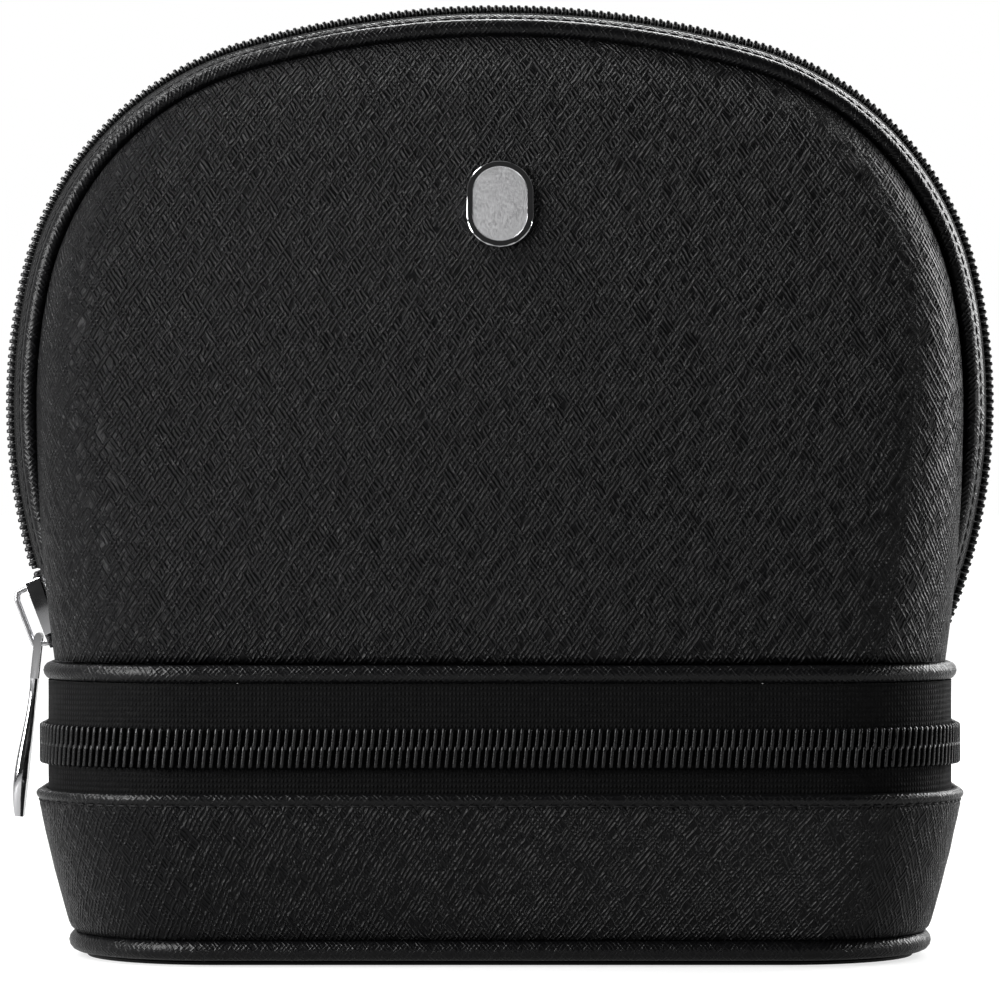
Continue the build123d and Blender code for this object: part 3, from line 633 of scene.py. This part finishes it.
halves = ((-1, "front", "front_flap"), (1, "back", "upper_body"))
for side, part, body in halves:
    skin = finishPiece(part + "_shell", shellGrid(side, 0), saffiano, body,
                       (part + "_panel", part + "_stiffener"))
    thicken(skin, shell["thickness"])
    lining = finishPiece(part + "_shell_lining", shellGrid(side, shell["liningInset"]), liningCloth,
                         body, (part + "_lining",))
    thicken(lining, shell["liningThickness"])
print("shells made")

# Arch edge: piping on a sewn flange, and the facing strip that is turned in beside it.
piping = {
    "radius": 1.75, "inset": 6.2, "y": 17.7, "flangeInset": 11.0, "flangeY": 16.4, "flangeThickness": 0.3,
    "footZ": 61.6,
}
facing = {  # its profile: the lip round the edge, the turn at the slope's end, and back along its underside
    "edgeInset": 2.76, "edgeY": 9.3, "slope": 0.58, "turnY": 15.8, "turnInset": 10.9,
    "lip": ((0.9, -0.02), (0.35, -0.1), (-0.05, 0.15), (0.1, 0.6), (0.75, 1.5), (1.35, 2.7)),
    "turn": ((-1.3, -2.2), (-0.3, -0.5), (0.4, 0)), "turnBack": -0.9, "slopeBack": (1.2, -1.0),
    "lipBack": (1.5, 0.4),
}


def facingProfile(side):
    form = facing
    slopeEnd = form["edgeInset"] + form["slope"] * (form["turnY"] - form["edgeY"])

    def near(inset, y, offset):
        return inset + offset[0], side * (y + offset[1])

    points = [near(form["edgeInset"], form["edgeY"], offset) for offset in form["lip"]]
    points += [near(slopeEnd, form["turnY"], offset) for offset in form["turn"]]
    points += [near(form["turnInset"], form["turnY"], (0, down)) for down in (0, form["turnBack"])]
    points.append(near(slopeEnd, form["turnY"], form["slopeBack"]))
    points.append(near(form["edgeInset"], form["edgeY"], form["lipBack"]))
    return points + [points[0]]


pipingReach = reachOf(piping["footZ"])
for side, part, body in halves:
    ring = roundProfile(piping["inset"], side * piping["y"], piping["radius"])
    cord = archSweep(ring, -pipingReach, pipingReach, 1.2, 0.06)
    finishPiece(part + "_arch_piping", capEnds(cord), tightSaffiano, body,
                (part + "_piping",))
    outY, backY = side * piping["flangeY"], side * (piping["flangeY"] + piping["flangeThickness"])
    flange = [(piping["inset"], outY), (piping["flangeInset"], outY), (piping["flangeInset"], backY),
              (piping["inset"], backY), (piping["inset"], outY)]
    finishPiece(part + "_piping_flange", capEnds(archSweep(flange, -footReach, footReach, 3)), smoothFilm,
                body)
    strip = archSweep(facingProfile(side), -footReach, footReach, 1.6, 0.06)
    finishPiece(part + "_arch_facing", capEnds(strip), tightSaffiano, body,
                (part + "_facing",), 50)
print("arch piping and facings made")

# Zip tapes. Each arch tape lies flat beside the chain and slopes in under its facing.
tape = {
    "inset": 2.0, "thickness": 0.6, "flatYs": (0.7, 2.4, 4.2, 6.0), "edgeY": 12.0, "edgeInset": 5.48,
    "feetY": 8.9, "splitZ": 80.9, "feetTopZ": 80.5,
}
endTab = {"lowZ": 62.0, "highZ": 64.6, "inset": 2.75, "thickness": 1.0, "halfWidth": 6}


def archTape(name, side, start, end, body, nodes, edgeY):
    form = tape
    kinkY = form["flatYs"][-1]
    drop = (form["edgeInset"] - form["inset"]) * (edgeY - kinkY) / (form["edgeY"] - kinkY)
    edgeInset = form["inset"] + drop
    outer = [(form["inset"], y) for y in form["flatYs"]]
    outer += [((form["inset"] + edgeInset) / 2, (kinkY + edgeY) / 2), (edgeInset, edgeY)]
    profile = outer + [(inset + form["thickness"], y) for inset, y in reversed(outer)] + [outer[0]]
    bm = capEnds(archSweep([(inset, side * y) for inset, y in profile], start, end))
    return finishPiece(name, bm, wovenTape, body, nodes, 40)


splitReach, feetReach = reachOf(tape["splitZ"]), reachOf(tape["feetTopZ"])
archTape("front_zip_tape", -1, -splitReach, splitReach, "front_flap", ("front_tape",), tape["edgeY"])
archTape("back_zip_tape", 1, -footReach, footReach, "upper_body", ("back_tape",), tape["edgeY"])
archTape("zip_tape_foot_left", -1, -footReach, -feetReach, "upper_body", ("arch_tape_feet",), tape["feetY"])
archTape("zip_tape_foot_right", -1, feetReach, footReach, "upper_body", ("arch_tape_feet",), tape["feetY"])
for side, sideName in ((-1, "left"), (1, "right")):
    span = sorted((side * reachOf(endTab["lowZ"]), side * reachOf(endTab["highZ"])))
    inset, y = endTab["inset"], endTab["halfWidth"]
    patch = [(inset, -y), (inset, y), (inset + endTab["thickness"], y), (inset + endTab["thickness"], -y),
             (inset, -y)]
    finishPiece("arch_end_tab_" + sideName, capEnds(archSweep(patch, *span)), smoothFilm,
                "upper_body", ("arch_end_tabs",), 40)


def bandTape(name, start, end, low, high, body, nodes, outward=0.0):
    faceLine = [(outward, low + (high - low) * share) for share in (0, 0.25, 0.5, 0.75)] + [(outward, high)]
    points = faceLine + [(outward - tape["thickness"], z) for o, z in reversed(faceLine)] + [faceLine[0]]
    bm = capEnds(planSweep(bandRings(points), start, end, 1.6, 0.1))
    return finishPiece(name, bm, wovenTape, body, nodes, 40)


# The band's tapes stop short of the hinge strip. Its left and right feet carry the chain's ends and stops.
bandTapes = {
    "lowerTopZ": 44.05, "upperLowZ": 45.35, "feetTopZ": 57.1, "bridgeLowZ": 40.5, "bridgeTopZ": 48.9,
    "bridgeOut": -0.75, "hingeHalf": 58.0, "footGap": 0.4, "footAngle": 27.5, "lidAngle": 25.8,
    "stopAngle": 66.5,
}
stripEnd = planRun / 2 - bandTapes["hingeHalf"]
footStart, lidEnd = cornerRunAt(bandTapes["footAngle"]), cornerRunAt(bandTapes["lidAngle"])
stopRun = cornerRunAt(bandTapes["stopAngle"])
bandTape("lower_zip_tape", -stripEnd, stripEnd, band["tapeLowZ"], bandTapes["lowerTopZ"], "lower_case",
         ("lower_tape",))
bandTape("upper_zip_tape", -lidEnd, lidEnd, bandTapes["upperLowZ"], band["tapeHighZ"], "upper_body",
         ("upper_tape",))
for side, sideName in ((-1, "left"), (1, "right")):
    footEnd = side * (stripEnd - bandTapes["footGap"])
    bandTape("band_tape_foot_" + sideName, *sorted((side * footStart, footEnd)), bandTapes["upperLowZ"],
             bandTapes["feetTopZ"], "lower_case", ("band_tape_feet",))
    bandTape("band_foot_bridge_" + sideName, *sorted((side * stopRun, footEnd)), bandTapes["bridgeLowZ"],
             bandTapes["bridgeTopZ"], "lower_case", ("band_foot_bridges",), bandTapes["bridgeOut"])
print("tapes made")

# Coil teeth: one rounded loop of monofilament, repeated at the coil's pitch down both sides of each chain.
tooth = {
    "pitch": 1.6, "width": 0.98, "outer": 4.15, "head": -0.5, "shortHead": 0.5, "height": 2.0, "round": 0.24,
    "waist": 0.3, "level": 0.93, "bow": 0.07, "slant": 0.1, "slantFrom": 2, "endGap": 0.5,
}


def toothForm(head):  # lies across the chain: X along it, Y from the head outwards, Z up from the tape
    bm = bmesh.new()
    bmesh.ops.create_cube(bm, size=1.0)
    bmesh.ops.bevel(bm, geom=bm.edges[:], offset=tooth["round"], offset_type="OFFSET", segments=2,
                    profile=0.5, affect="EDGES", material=-1)
    length = tooth["outer"] - head
    for vert in bm.verts:
        share = vert.co.y + 0.5
        waist = 1 - tooth["waist"] * sin(pi * share)
        lift = tooth["height"] * (tooth["level"] + tooth["bow"] * cos(2 * pi * share))
        y = head + length * share
        x = vert.co.x * tooth["width"] * waist + tooth["slant"] * (y - tooth["slantFrom"])
        vert.co = Vector((x, y, (vert.co.z + 0.5) * lift)) / 1000
    return bm


def toothRow(name, spots, body, nodes):  # spots are (origin, along, across, outward, crossing) for each tooth
    row = bmesh.new()
    kinds = {}
    for crossing, head in ((True, tooth["head"]), (False, tooth["shortHead"])):
        one = toothForm(head)
        mesh = bpy.data.meshes.new("tooth")
        one.to_mesh(mesh)
        one.free()
        kinds[crossing] = mesh
    for origin, along, across, outward, crossing in spots:
        before = len(row.verts)
        row.from_mesh(kinds[crossing])
        row.verts.ensure_lookup_table()
        place = Matrix((along, across, outward)).transposed().to_4x4()
        place.translation = Vector(origin) / 1000
        bmesh.ops.transform(row, matrix=place, verts=row.verts[before:])
    for mesh in kinds.values():
        bpy.data.meshes.remove(mesh)
    return finishPiece(name, row, nylon, body, nodes)


# The two rows of a chain stand half a pitch apart. The teeth along a slider's travel have short heads, so
# that they clear its castings, and none stand where a stop does.
chain = {
    "rowShift": {-1: 0.25, 1: 0.75}, "travelAngle": 12.4, "travelFrom": 17, "travelTo": 48, "travelSpare": 10,
    "stopZ": 64.0, "archStopHalf": 1.7, "bandStopHalf": 1.6, "pastStop": 0.4, "most": 150,
}
travelReach = levelRun - arch["sideRadius"] * radians(chain["travelAngle"])  # from the foot up to here
travelStart = cornerRunAt(chain["travelFrom"]) - chain["travelSpare"]
travelEnd = cornerRunAt(chain["travelTo"]) + chain["travelSpare"]


def stopSpans(middle, half):
    return [(-middle - half, -middle + half), (middle - half, middle + half)]


def isFree(spot, start, end, clear):
    within = start + tooth["endGap"] < spot < end - tooth["endGap"]
    return within and not any(a < spot < b for a, b in clear)


def archTeeth(name, side, start, end, body, nodes, clear=()):
    spots = []
    first = int((start + footReach) / tooth["pitch"])
    for k in range(first, int((end + footReach) / tooth["pitch"]) + 1):
        reach = -footReach + (k + chain["rowShift"][side]) * tooth["pitch"]
        if not isFree(reach, start, end, clear):
            continue
        places = archPlace(reach, tape["inset"], True), archPlace(reach, 0.0, True)
        inner, outer = [Vector((x, 0, z)) for x, z in places]
        outward = (outer - inner).normalized()
        across = Vector((0, side, 0))
        crossing = not -footReach < reach < -travelReach
        spots.append((inner, across.cross(outward), across, outward, crossing))
    return toothRow(name, spots, body, nodes)


archClear = stopSpans(reachOf(chain["stopZ"]), chain["archStopHalf"])
archTeeth("front_zip_coil", -1, -splitReach, splitReach, "front_flap", ("front_coil",))
archTeeth("back_zip_coil", 1, -footReach, footReach, "upper_body", ("back_coil",), archClear)
archTeeth("zip_coil_foot_left", -1, -footReach, -feetReach, "upper_body", ("arch_coil_feet",), archClear)
archTeeth("zip_coil_foot_right", -1, feetReach, footReach, "upper_body", ("arch_coil_feet",), archClear)


def bandTeeth(name, side, start, end, body, nodes, clear=()):  # side is -1 for the lower row, 1 for the upper
    spots = []
    size = (band["halfWidth"], band["halfDepth"], band["corner"])
    for k in range(-chain["most"], chain["most"]):
        run = (k + chain["rowShift"][side]) * tooth["pitch"]
        if not isFree(run, start, end, clear):
            continue
        inner = Vector((*planPlace(run, *size), band["chainZ"]))
        outer = Vector((*planPlace(run, *[s + 2 for s in size]), band["chainZ"]))
        outward = (outer - inner).normalized()
        across = Vector((0, 0, side))
        spots.append((inner, across.cross(outward), across, outward, not travelStart < run < travelEnd))
    return toothRow(name, spots, body, nodes)


chainEnd = stopRun + chain["pastStop"]
bandClear = stopSpans(stopRun, chain["bandStopHalf"])
bandTeeth("lower_zip_coil", -1, -chainEnd, chainEnd, "lower_case", ("lower_coil",), bandClear)
bandTeeth("upper_zip_coil", 1, -lidEnd, lidEnd, "upper_body", ("upper_coil",))
bandTeeth("band_coil_foot_left", 1, -chainEnd, -footStart, "lower_case", ("band_coil_feet",), bandClear)
bandTeeth("band_coil_foot_right", 1, footStart, chainEnd, "lower_case", ("band_coil_feet",), bandClear)
print("coil teeth made")

# Lower tray: wall of leatherette on board with its top edge turned over, lining, base and piping.
tray = {
    "footZ": 5.5, "topZ": 35.2, "footHalfWidth": 90.0, "footHalfDepth": 44.3, "topHalfWidth": 96.8,
    "topHalfDepth": 49.0, "bulge": 0.4, "thickness": 2.95, "liningInset": 3.6, "turnedFrom": 0.0331,
    "outside": [(5.0, 1.5), (5.4, 0.8), (6.2, 0.2), (7.4, 0)] + [(7.4 + 3.7 * i, 0) for i in range(1, 7)],
    "edge": [(30.8, 0), (32.0, -0.05), (32.6, 0.05), (33.0, 0.22), (33.3, 0.1), (33.6, -0.15), (34.0, -0.3),
             (34.5, -0.25), (34.9, 0.02), (35.2, 0.4), (35.35, 0.8), (35.4, 1.1)],
    "behindTape": [(0.75, 35.3), (0.35, 35.0), (0.15, 34.3), (0.15, 30.0), (0.1, 28.6)],
    "liningWall": [(z, 0) for z in (28.4, 24, 18, 12, 8)],
    "liningFloor": [(6.9, 0.4), (6.3, 1.2), (6.15, 3), (6.1, 12), (6.1, 25)],
}


def trayRing(z, inset):
    share = (z - tray["footZ"]) / (tray["topZ"] - tray["footZ"])
    swell = 4 * tray["bulge"] * share * (1 - share) - inset
    halfWidth = tray["footHalfWidth"] + (tray["topHalfWidth"] - tray["footHalfWidth"]) * share + swell
    halfDepth = tray["footHalfDepth"] + (tray["topHalfDepth"] - tray["footHalfDepth"]) * share + swell
    return halfWidth, halfDepth, band["corner"] - inset, z


wallRings = [trayRing(z, inset) for z, inset in tray["outside"] + tray["edge"]]
wallRings += bandRings(tray["behindTape"])
wallRings += [trayRing(z, tray["thickness"]) for z in (28.3, 17, 5.6)] + [wallRings[0]]
trayWall = finishPiece("tray_wall", planSweep(wallRings, ripple=0.12), saffiano,
                       "lower_case", ("lower_wall", "lower_wall_board"), 60)
trayWall.data.materials.append(tightSaffiano)  # the film is pulled tight where the edge is turned over
for polygon in trayWall.data.polygons:
    if polygon.center.z > tray["turnedFrom"]:  # in metres
        polygon.material_index = 1

liningLine = tray["liningWall"] + tray["liningFloor"]
liningRings = [trayRing(z, tray["liningInset"] + inward) for z, inward in liningLine]
finishPiece("tray_lining", capEnds(planSweep(liningRings, ripple=0.05)), liningCloth,
            "lower_case", ("lower_lining",))


panelForms = {
    "base_cover": {"plan": (87.1, 41.1, 28.7), "z": 0.0, "thickness": 1.2},
    "divider_floor_cloth": {"plan": (92.8, 43.9, 28.9), "z": 60.85, "thickness": 0.6},
    "divider_under_cloth": {"plan": (92.8, 43.9, 28.9), "z": 58.15, "thickness": 0.6},
}
cordForms = {
    "base_piping_cord": {"plan": (88.4, 42.4), "z": 3.2, "radius": 2.2},
    "seam_piping_cord": {"plan": (93.9, 45.0), "z": 59.8, "radius": 1.9},
}


def planPanel(name, finish, body, nodes):
    z, thickness = panelForms[name]["z"], panelForms[name]["thickness"]
    halfWidth, halfDepth, corner = panelForms[name]["plan"]
    edge = [(0.4, z), (0.0, z + thickness * 0.5), (0.4, z + thickness)]
    inner = [(inset, z + thickness) for inset in (3, 10, 20, corner - 0.6)]
    under = [(inset, z) for inset, top in reversed(inner)]
    rings = [(halfWidth - i, halfDepth - i, corner - i, h) for i, h in under + edge + inner]
    return finishPiece(name, capEnds(planSweep(rings, step=3)), finish, body, nodes, 50)


planPanel("base_cover", smoothFilm, "lower_case", ("base_panel",))
planPanel("divider_floor_cloth", liningCloth, "upper_body", ("divider_floor",))
planPanel("divider_under_cloth", liningCloth, "upper_body", ("divider_underside",))


def planPiping(name, body, nodes):
    form = cordForms[name]
    halfWidth, halfDepth = form["plan"]
    ring = roundProfile(0, 0, form["radius"])
    rings = [(halfWidth + o, halfDepth + o, band["corner"] + o, form["z"] + rise) for o, rise in ring]
    finishPiece(name, planSweep(rings, step=1.2, ripple=0.06), tightSaffiano, body, nodes)


planPiping("base_piping_cord", "lower_case", ("base_piping",))
planPiping("seam_piping_cord", "upper_body", ("seam_piping",))
print("tray, divider and piping made")

# Hinge strip: one piece of leatherette across the back, creased where the lid turns and tied to neither body.
hinge = {
    "halfWidth": 58.0, "lowZ": 28.7, "highZ": 57.9, "y": 45.4, "puff": 0.35, "thickness": 1.0, "axisZ": 44.7,
    "creaseHalf": 1.6, "creaseDepth": 0.5, "edgeRate": 30, "innerMap": 80,
}


def hingePlace(along, across):
    x = hinge["halfWidth"] * (1 - 2 * along)
    around = across * 2
    rise = around if around <= 1 else 2 - around
    z = hinge["lowZ"] + (hinge["highZ"] - hinge["lowZ"]) * rise
    crease = max(1 - abs(z - hinge["axisZ"]) / hinge["creaseHalf"], 0)
    y = hinge["y"] + hinge["puff"] * sin(pi * rise) - hinge["creaseDepth"] * crease ** 2
    if around > 1:
        y -= hinge["thickness"] * min((2 - around) * hinge["edgeRate"], 1)
    return (x, y, z), (x, z + (0 if around <= 1 else hinge["innerMap"]))


strip = finishPiece("hinge_strip", capEnds(layGrid(60, 56, hingePlace)), saffiano, None,
                    ("hinge_strip_lower", "hinge_strip_upper"), 50)
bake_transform(strip)

# Stitches: single short loops of thread that sink a little at both ends.
stitch = {
    "pitch": 2.6, "length": 2.0, "radius": 0.24, "trayZ": 33.0, "trayInset": 0.12, "archInset": 3.5,
    "archY": 10.8, "ahead": 0.5,
}


def stitchRow(name, spots, body):  # spots are (middle, along, outward)
    one = bmesh.new()
    bmesh.ops.create_uvsphere(one, u_segments=6, v_segments=5, radius=1.0)
    mesh = bpy.data.meshes.new("stitch")
    one.to_mesh(mesh)
    one.free()
    row = bmesh.new()
    for middle, along, outward in spots:
        before = len(row.verts)
        row.from_mesh(mesh)
        row.verts.ensure_lookup_table()
        scales = (stitch["radius"] / 1000, stitch["radius"] / 1000, stitch["length"] / 2000)
        axes = (outward.cross(along), outward, along)
        place = Matrix([axis * scale for axis, scale in zip(axes, scales)]).transposed().to_4x4()
        place.translation = Vector(middle) / 1000
        bmesh.ops.transform(row, matrix=place, verts=row.verts[before:])
    bpy.data.meshes.remove(mesh)
    return finishPiece(name, row, thread, body)


def trayEdge(run):
    return Vector((*planPlace(run, *trayRing(stitch["trayZ"], stitch["trayInset"])[:3]), stitch["trayZ"]))


spots = []
count = int(planRun / stitch["pitch"])
for k in range(count):
    run = -planRun / 2 + (k + 0.5) * planRun / count
    along = (trayEdge(run + stitch["ahead"]) - trayEdge(run - stitch["ahead"])).normalized()
    spots.append((trayEdge(run), along, along.cross(Vector((0, 0, 1)))))
stitchRow("tray_edge_stitches", spots, "lower_case")
for side, part, body in halves:
    spots = []
    count = int(2 * footReach / stitch["pitch"])
    for k in range(count):
        reach = -footReach + (k + 0.5) * 2 * footReach / count
        runs = (reach - stitch["ahead"], reach + stitch["ahead"])
        places = [archPlace(run, stitch["archInset"]) for run in runs]
        ends = [Vector((x, side * stitch["archY"], z)) for x, z in places]
        along = (ends[1] - ends[0]).normalized()
        outward = along.cross(Vector((0, 1, 0))).normalized()
        spots.append(((ends[0] + ends[1]) / 2, along, outward))
    stitchRow(part + "_facing_stitches", spots, body)
print("stitches made")

# Metal castings: each is its own node's shape with its doubles merged and its edges rolled off.
castings = {
    "arch_slider": 0.3, "arch_slider_crown": 0.35, "arch_pull": 0.35, "band_slider": 0.3,
    "band_slider_crown": 0.35, "band_pull_ring": 0.0, "band_pull_tab": 0.35, "arch_stops": 0.2,
    "band_stops": 0.2,
}
bodyOf = {node: body for body, nodes in frame["record"]["behaviour"]["bodies"].items() for node in nodes}
for node, roll in castings.items():
    bm = bmesh.new()
    bm.from_mesh(frame["nodes"][node].data)
    bmesh.ops.remove_doubles(bm, verts=bm.verts, dist=5e-6)
    bmesh.ops.dissolve_limit(bm, angle_limit=radians(1.5), verts=bm.verts, edges=bm.edges)
    casting = finishPiece(node + "_casting", bm, zinc, bodyOf[node], (node,), 35)
    if roll:
        edge = casting.modifiers.new("rolled edges", "BEVEL")
        edge.width = roll / 1000
        edge.segments = 3
        edge.limit_method = "ANGLE"
        edge.angle_limit = radians(40)
        edge.harden_normals = True

# Badge: a plain upright plate with a polished rim round a brushed face.
depthAtBadge = [slopedDepth(badge["z"] + rise) for rise in (-1, 0, 1)]
badgeTilt = atan2(depthAtBadge[0] - depthAtBadge[2], 2)
plate = bmesh.new()
bmesh.ops.create_circle(plate, cap_ends=True, segments=64, radius=badge["width"] / 2)
for vert in plate.verts:
    vert.co.y += (badge["height"] - badge["width"]) / 2 * (1 if vert.co.y > 0 else -1)
raised = bmesh.ops.extrude_face_region(plate, geom=plate.faces[:])["geom"]
raisedVerts = [v for v in raised if isinstance(v, bmesh.types.BMVert)]
bmesh.ops.translate(plate, vec=(0, 0, badge["thickness"]), verts=raisedVerts)
topEdges = [e for e in plate.edges if all(v.co.z > badge["thickness"] - 0.01 for v in e.verts)]
bmesh.ops.bevel(plate, geom=topEdges, offset=badge["bevel"], offset_type="OFFSET", segments=3, profile=0.5,
                affect="EDGES", material=-1)
topFace = max(plate.faces, key=lambda f: (f.calc_center_median().z, f.calc_area()))
bmesh.ops.inset_region(plate, faces=[topFace], thickness=badge["rim"], depth=0.0, use_even_offset=True)
bmesh.ops.inset_region(plate, faces=[topFace], thickness=badge["groove"], depth=-badge["groove"],
                       use_even_offset=True)
topFace.material_index = 1
for rise in (-badge["prongRise"], badge["prongRise"]):
    prong = bmesh.ops.create_cone(plate, cap_ends=True, segments=12, radius1=badge["prongRadius"],
                                  radius2=badge["prongRadius"], depth=badge["prongLength"])
    bmesh.ops.translate(plate, vec=(0, rise, badge["prongMiddle"]), verts=prong["verts"])
outward = Vector((0, -cos(badgeTilt), sin(badgeTilt)))
upward = Vector((0, sin(badgeTilt), cos(badgeTilt)))
seatSpot = Vector((0, -depthAtBadge[1], badge["z"])) + outward * badge["seat"]
lay = Matrix((Vector((1, 0, 0)), upward, outward)).transposed().to_4x4()
lay.translation = seatSpot
bmesh.ops.transform(plate, matrix=Matrix.Scale(0.001, 4) @ lay, verts=plate.verts)
badgePiece = finishPiece("badge", plate, zinc, "front_flap", ("badge_plate",), 30)
badgePiece.data.materials.append(brushed)
print("metal made")

for node, finish in {"base_board": fibreboard, "divider_board": fibreboard, "badge_backing": zinc}.items():
    for slot in frame["nodes"][node].material_slots:
        slot.material = finish

print("all pieces ready")
